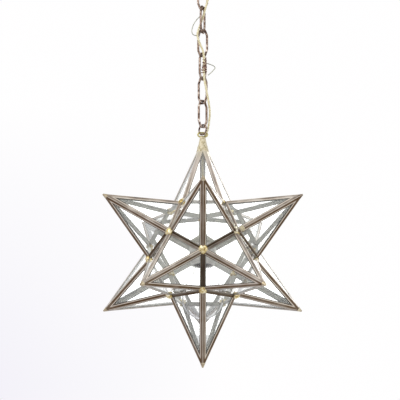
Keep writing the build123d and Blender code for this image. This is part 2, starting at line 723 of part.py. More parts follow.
inner_r = BULB_R - BULB_WALL
neck_inner = NECK_R - BULB_WALL
slant = math.sqrt(0.5)
with BuildPart() as bulb_glass:
    with BuildSketch(Plane.XZ):
        with BuildLine():
            Line((NECK_R, NECK_TOP), (NECK_R, NECK_LOW))
            Spline((NECK_R, NECK_LOW), (SWELL_R, SWELL_Z), (BULB_R, BULB_MID), tangents=[(0.1, -1), (0, -1)])
            ThreePointArc(
                (BULB_R, BULB_MID), (BULB_R * slant, BULB_MID - BULB_R * slant), (0, BULB_MID - BULB_R)
            )
            Line((0, BULB_MID - BULB_R), (0, BULB_MID - inner_r))
            ThreePointArc(
                (0, BULB_MID - inner_r), (inner_r * slant, BULB_MID - inner_r * slant), (inner_r, BULB_MID)
            )
            Spline(
                (inner_r, BULB_MID), (SWELL_R - 0.9 * BULB_WALL, SWELL_Z - 0.5 * BULB_WALL),
                (neck_inner, NECK_LOW),
                tangents=[(0, 1), (-0.1, 1)],
            )
            Polyline((neck_inner, NECK_LOW), (neck_inner, NECK_TOP), (NECK_R, NECK_TOP))
        make_face()
    revolve(axis=Axis.Z)
save(bulb_glass.part.moved(STAR), "bulb_glass")

with BuildPart() as bulb_mount:
    with BuildSketch(Plane.XZ):
        with BuildLine():
            Polyline(
                (0, NECK_TOP - 1), (2 * MOUNT_R, NECK_TOP - 1), (MOUNT_R, NECK_LOW),
                (0.7 * MOUNT_R, MOUNT_LOW + 2), (0, MOUNT_LOW), close=True,
            )
        make_face()
    revolve(axis=Axis.Z)
    with BuildLine(Plane.XZ) as filament:
        FilletPolyline(
            (-MOUNT_R / 3, MOUNT_LOW + 6), (-FILAMENT_W, FILAMENT_LOW + 6), (-FILAMENT_W / 2, FILAMENT_LOW),
            (FILAMENT_W / 2, FILAMENT_LOW), (FILAMENT_W, FILAMENT_LOW + 6), (MOUNT_R / 3, MOUNT_LOW + 6),
            radius=2.0,
        )
    with BuildSketch(Plane(origin=filament.line @ 0, z_dir=filament.line % 0)):
        Circle(FILAMENT_R)
    sweep(path=filament.line)
save(bulb_mount.part.moved(STAR), "bulb_mount")
print("star centre level", round(STAR_Z, 2), "edge", round(EDGE, 2), "leans",
      round(math.degrees(RIDGE_LEAN), 2), round(math.degrees(VALLEY_LEAN), 2))
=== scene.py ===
import math

import bmesh
import bpy
import numpy as np
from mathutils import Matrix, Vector, noise


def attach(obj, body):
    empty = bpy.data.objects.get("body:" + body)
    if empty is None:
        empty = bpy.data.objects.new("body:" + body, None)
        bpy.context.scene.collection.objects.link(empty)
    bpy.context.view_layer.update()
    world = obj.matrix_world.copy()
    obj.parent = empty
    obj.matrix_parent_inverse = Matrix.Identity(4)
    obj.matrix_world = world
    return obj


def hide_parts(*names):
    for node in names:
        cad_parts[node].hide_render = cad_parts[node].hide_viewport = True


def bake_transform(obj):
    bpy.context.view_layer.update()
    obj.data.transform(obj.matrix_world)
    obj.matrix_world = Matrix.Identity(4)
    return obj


# The hanging star's looks: its finishes, the flex as it lies through the chain, tie wires, solder,
# camera and light. Metres, in the CAD frame: the ceiling is at Z = 0 and the photographed side faces -Y.

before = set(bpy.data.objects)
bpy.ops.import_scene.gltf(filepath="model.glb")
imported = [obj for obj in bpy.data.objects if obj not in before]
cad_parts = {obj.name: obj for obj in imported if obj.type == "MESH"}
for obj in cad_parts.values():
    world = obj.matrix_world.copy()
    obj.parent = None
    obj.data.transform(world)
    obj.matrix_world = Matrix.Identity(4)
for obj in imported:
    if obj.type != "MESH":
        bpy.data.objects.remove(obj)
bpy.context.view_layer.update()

# ---- sizes and levels, as in the CAD ------------------------------------------------
STAR = Vector((0, 0, -0.46614))
REACH = 0.175                  # star centre to a spike's point
CORNER_REACH = 0.0862          # star centre to a valley corner
CORD_R = 0.0016
PITCH = 0.03684                # chain, contact to contact
FIRST_LINK = -0.06797          # middle of the top link
RING_CONTACT = -0.27059
CAP_TOP = STAR.z + 0.1775
CAP_RIM = STAR.z + 0.163
CAP_RIM_R = 0.0069
THREAD_PITCH = 0.00363         # medium screw base

# ---- star lattice -------------------------------------------------------------------
# Twelve spikes stand on the faces of a dodecahedron, whose twenty vertices are the valley corners.
LATITUDE = math.degrees(math.atan(0.5))
DOOR = "U1"
FRONT_CORNER = "L0L4U0"

# Cosines of the angles between neighbours, as the star's centre sees them.
SPIKE_TO_SPIKE = 1 / math.sqrt(5)
CORNER_TO_CORNER = math.sqrt(5) / 3
SPIKE_TO_CORNER = math.sqrt((5 + 2 * math.sqrt(5)) / 15)


def direction(azimuth, latitude):
    az = math.radians(azimuth)
    lat = math.radians(latitude)
    return Vector((math.sin(az) * math.cos(lat), -math.cos(az) * math.cos(lat), math.sin(lat)))


def apart_by(first, second, cosine):
    return abs(first.dot(second) - cosine) < 0.001


def spike_directions():
    """T and B point up and down, U0 to U4 and L0 to L4 are the upper and lower row."""
    found = {"T": Vector((0, 0, 1)), "B": Vector((0, 0, -1))}
    for k in range(5):
        found["U%d" % k] = direction(72 * k, LATITUDE)
        found["L%d" % k] = direction(72 * k + 36, -LATITUDE)
    return found


APEX = spike_directions()


def adjacent(a, b):
    return apart_by(APEX[a], APEX[b], SPIKE_TO_SPIKE)


def corner_directions():
    """Each valley corner, named after the three spikes that meet there."""
    found = {}
    for a in sorted(APEX):
        for b in sorted(APEX):
            for c in sorted(APEX):
                if a < b < c and adjacent(a, b) and adjacent(b, c) and adjacent(a, c):
                    found[a + b + c] = (APEX[a] + APEX[b] + APEX[c]).normalized()
    return found


CORNER = corner_directions()


def touches(corner, apex):
    return apart_by(CORNER[corner], APEX[apex], SPIKE_TO_CORNER)


def point_of_spike(apex):
    return STAR + APEX[apex] * REACH


def point_of_corner(corner):
    return STAR + CORNER[corner] * CORNER_REACH


# ---- fold lines, which the wear, painted highlights and painted shade on the cames follow ---
RIDGES = 60                    # five up each spike, listed before the valleys
LINE_STEP = 0.37               # tells one fold line from the next in the grain


def fold_lines():
    lines = []
    for corner in CORNER:
        for apex in sorted(APEX):
            if touches(corner, apex):
                lines.append((point_of_spike(apex), point_of_corner(corner)))
    for i, first in enumerate(CORNER):
        for second in list(CORNER)[i + 1:]:
            if apart_by(CORNER[first], CORNER[second], CORNER_TO_CORNER):
                lines.append((point_of_corner(first), point_of_corner(second)))
    return lines


def mark_folds(obj, starts, along, lengths):
    """Stores on a came how far its surface lies along and across the nearest fold line, which line
    that is, and whether the surface faces into the star."""
    points = np.array([v.co for v in obj.data.vertices])
    middles = np.array([f.center for f in obj.data.polygons])
    offset = middles[:, None, :] - starts[None, :, :]
    run = np.clip(np.einsum("pli,li->pl", offset, along), 0, lengths[None, :])
    nearest = np.argmin(np.linalg.norm(offset - run[:, :, None] * along[None, :, :], axis=2), axis=1)
    loops = np.zeros(len(obj.data.loops), dtype=np.int64)
    obj.data.loops.foreach_get("vertex_index", loops)
    values = np.zeros((len(loops), 3), dtype=np.float32)
    faces_in = np.zeros(len(loops), dtype=np.float32)
    for face in obj.data.polygons:
        own = slice(face.loop_start, face.loop_start + face.loop_total)
        line = int(nearest[face.index])
        reach = points[loops[own]] - starts[line]
        far = reach @ along[line]
        values[own, 0] = far
        values[own, 1] = np.linalg.norm(reach - far[:, None] * along[line], axis=1)
        values[own, 2] = LINE_STEP * line
        out = (face.center - STAR).normalized()
        faces_in[own] = face.normal.dot(out) < -0.1
    obj.data.attributes.new("fold", "FLOAT_VECTOR", "CORNER").data.foreach_set("vector", values.ravel())
    obj.data.attributes.new("inner", "FLOAT", "CORNER").data.foreach_set("value", faces_in)


# ---- shader helpers -----------------------------------------------------------------
def new_material(name):
    mat = bpy.data.materials.new(name)
    mat.use_nodes = True
    return mat, mat.node_tree, mat.node_tree.nodes["Principled BSDF"]


def shade_of(red, green, blue):
    """A colour written as it shows on screen, 0 to 255."""
    return tuple((c / 255) ** 2.2 for c in (red, green, blue))


def node(tree, kind, **settings):
    made = tree.nodes.new(kind)
    for key, value in settings.items():
        setattr(made, key, value)
    return made


def attribute(tree, name):
    return node(tree, "ShaderNodeAttribute", attribute_name=name)


def split(tree, vector):
    made = node(tree, "ShaderNodeSeparateXYZ")
    tree.links.new(vector, made.inputs["Vector"])
    return made


def place_of(tree):
    """The shaded point's place in the frame, split into X, Y and Z."""
    return split(tree, node(tree, "ShaderNodeTexCoord").outputs["Object"])


def grain(tree, scale, detail=5.0, vector=None):
    texture = node(tree, "ShaderNodeTexNoise")
    texture.inputs["Scale"].default_value = scale
    texture.inputs["Detail"].default_value = detail
    if vector is None:
        vector = node(tree, "ShaderNodeTexCoord").outputs["Object"]
    tree.links.new(vector, texture.inputs["Vector"])
    return texture.outputs["Fac"]


def ramp(tree, source, stops):
    made = node(tree, "ShaderNodeValToRGB")
    while len(made.color_ramp.elements) < len(stops):
        made.color_ramp.elements.new(0.5)
    for element, (position, colour) in zip(made.color_ramp.elements, stops):
        element.position = position
        element.color = (*colour, 1)
    tree.links.new(source, made.inputs["Fac"])
    return made.outputs["Color"]


def level(tree, source, stops):
    return ramp(tree, source, [(position, (value, value, value)) for position, value in stops])


def math_node(tree, operation, first, second=0.0):
    made = node(tree, "ShaderNodeMath", operation=operation)
    for socket, value in zip(made.inputs, (first, second)):
        if isinstance(value, (int, float)):
            socket.default_value = value
        else:
            tree.links.new(value, socket)
    return made.outputs["Value"]


def mapped(tree, source, from_low, from_high, to_low, to_high):
    made = node(tree, "ShaderNodeMapRange")
    made.inputs["From Min"].default_value = from_low
    made.inputs["From Max"].default_value = from_high
    made.inputs["To Min"].default_value = to_low
    made.inputs["To Max"].default_value = to_high
    tree.links.new(source, made.inputs["Value"])
    return made.outputs["Result"]


def varied(tree, patches, low, high):
    """A value that follows the patches of a grain, from low to high."""
    return mapped(tree, patches, 0.3, 0.7, low, high)


def layer(tree, share, below, above):
    """The second colour laid over the first, as thickly as the share says."""
    made = node(tree, "ShaderNodeMix", data_type="RGBA")
    for label, value in (("Factor", share), ("A", below), ("B", above)):
        socket = next(s for s in made.inputs if s.name == label and s.enabled)
        if isinstance(value, tuple):
            socket.default_value = (*value, 1)
        else:
            tree.links.new(value, socket)
    return next(s for s in made.outputs if s.enabled)


def roughen(tree, shade, height, strength, distance=0.0004):
    relief = node(tree, "ShaderNodeBump")
    relief.inputs["Strength"].default_value = strength
    relief.inputs["Distance"].default_value = distance
    tree.links.new(height, relief.inputs["Height"])
    tree.links.new(relief.outputs["Normal"], shade.inputs["Normal"])


# ---- the cames' brass ---------------------------------------------------------------
STREAKS = {"X": 22.0, "Y": 900.0, "Z": 40.0}   # grain along a fold, across it and from line to line
WEAR_AND_SHADING_WIDTH = 0.006                             # the wear, painted highlights and painted edge shade run out here, just past a flange's edge
TOP_LIGHT_FROM = STAR.z + 0.08                      # painted light from above: the top spike is paler above here
TOP_LIGHT_FULL = STAR.z + 0.125
TIN_FROM = STAR.z + 0.138                      # solder has run over its cames above here
TIN_FULL = CAP_RIM - 0.004


def came_streaks(tree, fold):
    place = node(tree, "ShaderNodeCombineXYZ")
    for axis, scale in STREAKS.items():
        tree.links.new(math_node(tree, "MULTIPLY", fold.outputs[axis], scale), place.inputs[axis])
    return grain(tree, 1.0, 3.0, place.outputs["Vector"])


def came_metal(tree, streaks, patches):
    """Brass in streaks and patches, from dark brown to pale."""
    fine = math_node(tree, "MULTIPLY", streaks, 0.6)
    broad = math_node(tree, "MULTIPLY", patches, 0.4)
    return ramp(tree, math_node(tree, "ADD", fine, broad), [
        (0.42, shade_of(66, 50, 34)), (0.47, shade_of(120, 97, 70)), (0.52, shade_of(153, 134, 112)),
        (0.59, shade_of(214, 206, 194)),
    ])


def came_light_and_dust(tree, colour, upward):
    """Painted shade makes it browner underneath; on top it is paler, partly dusty and partly painted light
    from above.
    """
    # painted shade: browner on the flanges that face down
    shaded = mapped(tree, upward, 0.15, -0.35, 0.0, 0.75)
    colour = layer(tree, shaded, colour, shade_of(92, 70, 48))
    # partly dusty, partly painted light from above: paler on the flanges that face up
    dust_and_light_above = mapped(tree, upward, 0.1, 0.75, 0.0, 0.7)
    return layer(tree, dust_and_light_above, colour, shade_of(186, 178, 172))


def came_wear_and_shading(tree, colour, fold, upward):
    """Rubbed bright and given painted highlights along the fold and down the flange, with dirt and painted
    shade beside them, and painted shade in the valleys that face down.
    """
    across = math_node(tree, "DIVIDE", fold.outputs["Y"], WEAR_AND_SHADING_WIDTH)
    # partly wear, partly painted highlights: bright bands along the fold and down the flange
    rubbed_and_highlight = level(tree, across, [
        (0.0, 0.5), (0.07, 0.25), (0.15, 0.0), (0.58, 0.0), (0.68, 0.7), (0.78, 0.7), (0.86, 0.0),
    ])
    colour = layer(tree, rubbed_and_highlight, colour, shade_of(236, 228, 214))
    # partly dirt, partly painted shade: dark lines beside the fold and along the flange's edge at the
    # glass
    dirt_and_edge_shade = level(tree, across, [
        (0.0, 0.0), (0.1, 0.0), (0.2, 0.35), (0.36, 0.1), (0.85, 0.0), (0.92, 0.85),
    ])
    colour = layer(tree, dirt_and_edge_shade, colour, shade_of(36, 28, 22))
    # painted shade: darker on the valley cames where they face down
    valley = math_node(tree, "GREATER_THAN", fold.outputs["Z"], LINE_STEP * (RIDGES - 0.5))
    underneath = mapped(tree, upward, -0.1, -0.45, 0.0, 0.6)
    valley_shade = math_node(tree, "MULTIPLY", valley, underneath)
    return layer(tree, valley_shade, colour, shade_of(66, 56, 44))


def came_top_light_and_tin(tree, colour, height):
    """Painted light from above makes it paler towards the top of the star; tinned just under the cap."""
    # painted light from above: the top spike's cames grow lighter with height
    top_light = mapped(tree, height, TOP_LIGHT_FROM, TOP_LIGHT_FULL, 0.0, 0.55)
    colour = layer(tree, top_light, colour, shade_of(200, 189, 180))
    tinned = mapped(tree, height, TIN_FROM, TIN_FULL, 0.0, 0.85)
    return layer(tree, tinned, colour, shade_of(206, 198, 172))


def came_brass():
    """Aged brass came, with painted light and shade laid over its colours. Its inner side is a flat
    whitish grey.
    """
    mat, tree, shade = new_material("aged_came")
    fold = split(tree, attribute(tree, "fold").outputs["Vector"])
    inner = attribute(tree, "inner").outputs["Fac"]
    upward = split(tree, node(tree, "ShaderNodeTexCoord").outputs["Normal"]).outputs["Z"]
    streaks = came_streaks(tree, fold)
    patches = grain(tree, 42.0)
    colour = came_metal(tree, streaks, patches)
    colour = came_light_and_dust(tree, colour, upward)
    colour = came_wear_and_shading(tree, colour, fold, upward)
    colour = layer(tree, math_node(tree, "MULTIPLY", inner, 0.85), colour, shade_of(214, 214, 203))
    colour = came_top_light_and_tin(tree, colour, place_of(tree).outputs["Z"])
    tree.links.new(colour, shade.inputs["Base Color"])
    tree.links.new(mapped(tree, inner, 0.0, 1.0, 0.75, 0.25), shade.inputs["Metallic"])
    tree.links.new(varied(tree, patches, 0.26, 0.42), shade.inputs["Roughness"])
    roughen(tree, shade, streaks, 0.12)
    return mat


# ---- other materials ----------------------------------------------------------------
NICKEL_STOPS = [(0.3, (0.62, 0.56, 0.52)), (0.7, (0.8, 0.75, 0.7))]
HALF_JOINT = 0.00022           # half the width of the butt joint in a link's wire


def metal(name, stops, scale, rough=(0.3, 0.5), relief=0.2, fine=500.0, metallic=1.0):
    mat, tree, shade = new_material(name)
    patches = grain(tree, scale)
    tree.links.new(ramp(tree, patches, stops), shade.inputs["Base Color"])
    tree.links.new(varied(tree, patches, *rough), shade.inputs["Roughness"])
    shade.inputs["Metallic"].default_value = metallic
    roughen(tree, shade, grain(tree, fine), relief)
    return mat


def clear(name, tint, film, ior):
    """Clear glass with a thin dusty film."""
    mat, tree, shade = new_material(name)
    dusty = tuple(min(1.0, c + 0.006) for c in tint)
    tree.links.new(ramp(tree, grain(tree, 11.0), [(0.35, tint), (0.7, dusty)]), shade.inputs["Base Color"])
    shade.inputs["Transmission Weight"].default_value = 1.0 - film
    shade.inputs["Roughness"].default_value = 0.0
    shade.inputs["IOR"].default_value = ior
    return mat


def chain_brown():
    """Antique brown wire, with the dark butt joint on the back of each link."""
    mat, tree, shade = new_material("antique_chain")
    patches = grain(tree, 260.0)
    colour = ramp(tree, patches, [
        (0.34, shade_of(66, 52, 45)), (0.46, shade_of(118, 98, 86)), (0.56, shade_of(158, 140, 127)),
        (0.68, shade_of(218, 207, 197)),
    ])
    place = place_of(tree)
    from_first = math_node(tree, "ADD", place.outputs["Z"], -FIRST_LINK)
    from_middle = math_node(tree, "PINGPONG", from_first, PITCH / 2)
    joint = math_node(tree, "LESS_THAN", from_middle, HALF_JOINT)
    behind = math_node(tree, "GREATER_THAN", place.outputs["Y"], 0.0)
    seam = math_node(tree, "MULTIPLY", joint, behind)
    tree.links.new(layer(tree, seam, colour, (0.01, 0.008, 0.006)), shade.inputs["Base Color"])
    shade.inputs["Metallic"].default_value = 0.9
    tree.links.new(varied(tree, patches, 0.3, 0.5), shade.inputs["Roughness"])
    roughen(tree, shade, grain(tree, 420.0), 0.45)
    return mat


def threaded(name):
    """Nickel plate with the rolled thread of a medium screw base."""
    mat, tree, shade = new_material(name)
    tree.links.new(ramp(tree, grain(tree, 60.0), NICKEL_STOPS), shade.inputs["Base Color"])
    shade.inputs["Metallic"].default_value = 1.0
    shade.inputs["Roughness"].default_value = 0.24
    turns = math_node(tree, "MULTIPLY", place_of(tree).outputs["Z"], 2 * math.pi / THREAD_PITCH)
    roughen(tree, shade, math_node(tree, "SINE", turns), 0.9, 0.0012)
    return mat


def plain(name, stops, rough, scale, coat=0.0, see_through=0.0):
    mat, tree, shade = new_material(name)
    tree.links.new(ramp(tree, grain(tree, scale), stops), shade.inputs["Base Color"])
    shade.inputs["Roughness"].default_value = rough
    shade.inputs["Coat Weight"].default_value = coat
    shade.inputs["Transmission Weight"].default_value = see_through
    roughen(tree, shade, grain(tree, scale * 6), 0.06)
    return mat


CAME = came_brass()
SOLDER = metal("golden_solder", [
    (0.34, shade_of(150, 128, 78)), (0.46, shade_of(196, 176, 122)), (0.56, shade_of(222, 210, 172)),
    (0.68, shade_of(240, 234, 214)),
], 260.0, rough=(0.22, 0.45), relief=0.5, fine=700.0)
TIP = metal("dull_solder", [
    (0.3, (0.25, 0.2, 0.13)), (0.5, (0.42, 0.35, 0.24)), (0.7, (0.62, 0.56, 0.42)),
], 220.0, rough=(0.3, 0.5), relief=0.4, fine=600.0)
CHAIN = chain_brown()
EYE = metal("olive_brass", [
    (0.3, (0.12, 0.1, 0.03)), (0.5, (0.42, 0.36, 0.14)), (0.7, (0.75, 0.68, 0.36)),
], 330.0, rough=(0.25, 0.45), relief=0.4)
CAP = metal("pale_cap", [
    (0.34, shade_of(150, 138, 104)), (0.48, shade_of(196, 184, 152)), (0.62, shade_of(214, 204, 178)),
], 300.0, rough=(0.5, 0.65), relief=0.5, metallic=0.3)
WORN = metal("worn_brass", [
    (0.3, (0.24, 0.18, 0.09)), (0.55, (0.5, 0.42, 0.25)), (0.75, (0.72, 0.64, 0.44)),
], 170.0, rough=(0.25, 0.4))
STRAP = metal("bright_strap", [
    (0.3, (0.55, 0.5, 0.38)), (0.7, (0.85, 0.82, 0.72)),
], 170.0, rough=(0.15, 0.3))
CANOPY = metal("aged_canopy", [
    (0.3, (0.14, 0.095, 0.06)), (0.5, (0.24, 0.17, 0.11)), (0.7, (0.36, 0.27, 0.18)),
], 26.0, rough=(0.3, 0.45))
STEEL = metal("zinc_plate", [
    (0.3, (0.45, 0.45, 0.45)), (0.7, (0.62, 0.62, 0.6)),
], 60.0, rough=(0.25, 0.4))
NICKEL = metal("nickel_plate", NICKEL_STOPS, 60.0, rough=(0.18, 0.32), relief=0.05)
THREAD = threaded("screw_thread")
TIE = metal("grey_wire", [
    (0.3, shade_of(120, 120, 104)), (0.7, shade_of(184, 184, 168)),
], 300.0, rough=(0.35, 0.5))
STRAND = metal("brown_strand", [
    (0.3, shade_of(92, 66, 56)), (0.7, shade_of(172, 142, 126)),
], 300.0, rough=(0.35, 0.5))
PANE = clear("clear_pane", (0.975, 0.985, 0.978), film=0.07, ior=1.5)
BULB = clear("bulb_glass", (0.985, 0.98, 0.98), film=0.03, ior=1.12)
FLEX = plain("gold_flex", [
    (0.3, (0.6, 0.5, 0.26)), (0.5, (0.76, 0.68, 0.42)), (0.7, (0.86, 0.8, 0.56)),
], 0.3, 260.0, coat=0.4, see_through=0.15)
HOLDER = plain("white_holder", [
    (0.3, shade_of(236, 231, 222)), (0.7, shade_of(247, 244, 238)),
], 0.35, 60.0, coat=0.2)
HOLDER_CAP = plain("holder_roof", [
    (0.3, shade_of(198, 194, 176)), (0.7, shade_of(220, 217, 202)),
], 0.5, 80.0)

# ---- what each piece is made of -----------------------------------------------------
PAINT = {
    "corner_solder": SOLDER, "tip_solder": TIP, "top_cap": CAP, "hanging_eye": EYE, "door_catch": STRAP,
    "hinge_pin": WORN, "door_knuckle": WORN, "seat_knuckles": WORN, "ceiling_canopy": CANOPY,
    "canopy_loop": CANOPY, "mounting_crossbar": STEEL, "canopy_nipple": STEEL, "crossbar_nut": STEEL,
    "supply_cord": FLEX, "inner_cord": FLEX, "lampholder_body": HOLDER, "lampholder_cap": HOLDER_CAP,
    "screw_shell": THREAD, "centre_contact": NICKEL, "bulb_base": THREAD, "bulb_glass": BULB,
    "bulb_mount": BULB, "hanging_ring": CHAIN,
}
ROUND = (
    "bulb", "chain_link", "hanging", "supply", "inner_cord", "ceiling_canopy", "canopy_loop",
    "lampholder", "screw_shell", "top_cap", "tip_solder", "hinge_pin", "canopy_nipple",
)
SHARP_EDGE = math.radians(40)


def material_for(name):
    if name in PAINT:
        return PAINT[name]
    if name.startswith("glass_") or name == "door_glass":
        return PANE
    if name.startswith("chain_link"):
        return CHAIN
    return CAME


def smooth(obj):
    """Shades round faces smoothly, up to a sharp edge."""
    for face in obj.data.polygons:
        face.use_smooth = True
    edges = bmesh.new()
    edges.from_mesh(obj.data)
    for edge in edges.edges:
        edge.smooth = len(edge.link_faces) == 2 and edge.calc_face_angle() < SHARP_EDGE
    edges.to_mesh(obj.data)
    edges.free()


def dress():
    lines = fold_lines()
    starts = np.array([tuple(a) for a, b in lines])
    ends = np.array([tuple(b) for a, b in lines])
    lengths = np.linalg.norm(ends - starts, axis=1)
    along = (ends - starts) / lengths[:, None]
    for name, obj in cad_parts.items():
        finish = material_for(name)
        obj.data.materials.clear()
        obj.data.materials.append(finish)
        if finish is CAME:
            mark_folds(obj, starts, along, lengths)
        elif name.startswith(ROUND):
            smooth(obj)


dress()


# ---- routes, tubes and meshes -------------------------------------------------------
BEND_SHARE = 0.45              # of a run, that the bend at its end may take
WIDEST_BEND = 0.4
BEND_STEPS = 8


def show(name, mesh, finish):
    for face in mesh.polygons:
        face.use_smooth = True
    mesh.materials.append(finish)
    obj = bpy.data.objects.new(name, mesh)
    bpy.context.scene.collection.objects.link(obj)
    return obj


def mesh_object(name, verts, faces, finish):
    mesh = bpy.data.meshes.new(name)
    mesh.from_pydata([tuple(v) for v in verts], [], faces)
    mesh.update()
    return show(name, mesh, finish)


def rounded(points):
    """The route through given points, its corners rounded as the CAD rounds them."""
    route = [points[0]]
    for before, here, after in zip(points, points[1:], points[2:]):
        run_in = (here - before).normalized()
        run_out = (after - here).normalized()
        turn = run_in.angle(run_out)
        shorter = min((here - before).length, (after - here).length)
        cut = min(BEND_SHARE * shorter, WIDEST_BEND * math.tan(turn / 2))
        radius = cut / math.tan(turn / 2)
        start = here - run_in * cut
        inward = (run_out - run_in * run_out.dot(run_in)).normalized()
        centre = start + inward * radius
        for step in range(BEND_STEPS + 1):
            angle = turn * step / BEND_STEPS
            route.append(centre - inward * radius * math.cos(angle) + run_in * radius * math.sin(angle))
    route.append(points[-1])
    return route


def even(route, gap):
    """The same route with points at most gap apart."""
    points = [route[0]]
    for a, b in zip(route, route[1:]):
        pieces = max(1, math.ceil((b - a).length / gap))
        points += [a.lerp(b, (k + 1) / pieces) for k in range(pieces)]
    return points


def tube(name, route, radius, finish, sides=14, shape=None):
    """A tube along a route, closed at both ends. shape(angle, distance) scales its radius."""
    normal = None
    verts = []
    distance = 0.0
    for k, point in enumerate(route):
        ahead = route[min(k + 1, len(route) - 1)] - route[max(k - 1, 0)]
        ahead.normalize()
        if normal is None:
            normal = ahead.orthogonal().normalized()
        normal = (normal - ahead * normal.dot(ahead)).normalized()
        side = ahead.cross(normal)
        if k:
            distance += (point - route[k - 1]).length
        for j in range(sides):
            angle = 2 * math.pi * j / sides
            r = radius * (shape(angle, distance) if shape else 1.0)
            verts.append(point + normal * r * math.cos(angle) + side * r * math.sin(angle))
    faces = []
    for k in range(len(route) - 1):
        for j in range(sides):
            here = k * sides + j
            beside = k * sides + (j + 1) % sides
            faces.append((here, beside, beside + sides, here + sides))
    last = (len(route) - 1) * sides
    faces.append(tuple(reversed(range(sides))))
    faces.append(tuple(range(last, last + sides)))
    return mesh_object(name, verts, faces, finish)


# ---- the flex, one stretch across each joint of the chain ---------------------------
# Each point: millimetres right and back of the chain's axis, and chain pitches above the ring's contact.
BESIDE_CHAIN = [
    (13.0, -6.0, 6.72),
    (12.0, -7.5, 6.05),
    (9.5, -6.7, 5.47),
    (4.4, -4.4, 4.97),
    (0.2, -1.0, 4.57),
    (-8.9, -3.4, 3.84),
    (-4.6, -5.0, 3.45),
    (1.6, -5.3, 3.07),
    (2.0, -5.3, 2.55),
    (1.7, -5.4, 2.02),
    (5.8, -8.1, 1.42),
    (9.2, -5.5, 0.93),
    (11.0, -1.0, 0.54),
    (9.8, 2.2, 0.22),
    (8.0, 4.8, -0.12),
]
INTO_CAP = [
    Vector((0.0036, 0.0054, CAP_TOP + 0.0045)),
    Vector((0, 0, CAP_TOP - 0.0075)),
    Vector((0, 0, CAP_RIM - 0.002)),
]
STRETCH_ENDS = [-0.066, -0.104, -0.140, -0.176, -0.210, -0.243, -0.2735]
FLEX_SIDES = 16
FLEX_STEP = 0.0012
FLEX_TWIST = 60                # radians a metre
FLEX_GROOVE = 0.07             # between the two cores, as a share of the radius
INNER_FLEX = [STAR + Vector((0, 0, 0.161)), STAR + Vector((0, 0, 0.028))]   # cap to lampholder
INNER_STEP = 0.004


def twin_flex(angle, distance):
    """Two cores side by side under one sheath, laid with a slow twist."""
    return 1.0 - FLEX_GROOVE * (1 - abs(math.cos(angle + distance * FLEX_TWIST))) ** 3


def supply_route():
    beside = [Vector((x / 1000, y / 1000, RING_CONTACT + n * PITCH)) for x, y, n in BESIDE_CHAIN]
    return even(rounded(beside + INTO_CAP), FLEX_STEP)


def stretch_stops(route):
    """The first point at or below each stretch's end, and the route's last point."""
    stops = [next(i for i, point in enumerate(route) if point.z <= end) for end in STRETCH_ENDS]
    return stops + [len(route) - 1]


def lay_flex():
    route = supply_route()
    start = 0
    for k, stop in enumerate(stretch_stops(route)):
        stretch = route[start:stop + 1]
        piece = tube("flex_%d" % (k + 1), stretch, CORD_R, FLEX, FLEX_SIDES, twin_flex)
        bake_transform(piece)
        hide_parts("supply_cord")
        start = stop


def inner_flex():
    """The flex inside the star, straight down from the cap to the lampholder."""
    route = even(INNER_FLEX, INNER_STEP)
    piece = tube("inner_flex", route, CORD_R, FLEX, FLEX_SIDES, twin_flex)
    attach(piece, "star")
    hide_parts("inner_cord")


lay_flex()
inner_flex()


# ---- tie wires ----------------------------------------------------------------------
# Millimetres right of and above the star's centre, in a plane in front of the chain's axis.
LEFT_TIE = [(-2.5, 366.9), (-9.2, 360.1), (-14.1, 352.4), (-16.8, 343.2), (-15.0, 336.2), (-9.0, 335.0)]
LEFT_TIE_Y = -0.004
RIGHT_TIE = [(5.6, 291.1), (15.9, 287.4), (19.4, 284.0), (13.8, 277.4), (7.9, 272.1)]
RIGHT_TIE_Y = -0.007
TIE_R = 0.00065
TIE_STEP = 0.001


def tie_wire(name, body, corners, depth):
    points = [STAR + Vector((x / 1000, depth, z / 1000)) for x, z in corners]
    wire = tube(name, even(rounded(points), TIE_STEP), TIE_R, TIE, sides=8)
    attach(wire, body)


tie_wire("tie_wire_left", "link_2", LEFT_TIE, LEFT_TIE_Y)
tie_wire("tie_wire_right", "link_4", RIGHT_TIE, RIGHT_TIE_Y)


# ---- brown strands on the fourth link -----------------------------------------------
# Each strand: its top and foot above the star's centre, its turns, and its reach to the sides.
STRANDS = ((0.3004, 0.2771, 4.3, 0.0031), (0.2943, 0.2765, 4.6, 0.0035), (0.2882, 0.2765, 3.4, 0.0039))
STRAND_R = 0.00058
STRAND_X = 0.0031              # right of the chain's axis at the top of the wrap
STRAND_DRIFT = 0.0013          # back towards the axis on the way down
STRAND_Y = -0.0040
STRAND_DEPTH = 0.0032          # reach to the front and back
STRAND_TOP_SPAN = 0.75         # share of the reach at the top of the wrap
STRAND_SPREAD = 0.35           # added to that share at its foot
STRAND_WANDER = 0.0007
STRAND_STEPS = 140


def strand_wrap():
    """Brown strands wound unevenly round the flex and the fourth link."""
    for k, (top, foot, turns, reach) in enumerate(STRANDS):
        route = []
        for step in range(STRAND_STEPS + 1):
            share = step / STRAND_STEPS
            angle = share * 2 * math.pi * turns + k
            wander = STRAND_WANDER * noise.noise(Vector((share * 6, k * 5.0, 0)))
            middle = Vector((STRAND_X - STRAND_DRIFT * share, STRAND_Y, top + (foot - top) * share))
            span = reach * (STRAND_TOP_SPAN + STRAND_SPREAD * share) + wander
            aside = Vector((span * math.cos(angle), STRAND_DEPTH * math.sin(angle), wander))
            route.append(STAR + middle + aside)
        strand = tube("strand_wrap_%d" % (k + 1), route, STRAND_R, STRAND, sides=6)
        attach(strand, "link_4")


strand_wrap()


# ---- solder lumps over the corners --------------------------------------------------
LUMP_SIZE = 0.0062
LUMP_FLAT = 0.62               # its thickness, as a share of its size
LUMP_PROUD = 0.0002            # of the corner
LUMP_SWELL = 0.11
LUMP_RIPPLE = 0.05
DROP_SIZE = 0.0066
DROP_TALL = 1.35
DROP_NARROWING = 0.45          # at its top
DROP_SHIFT = Vector((0.0004, 0, 0.0032))


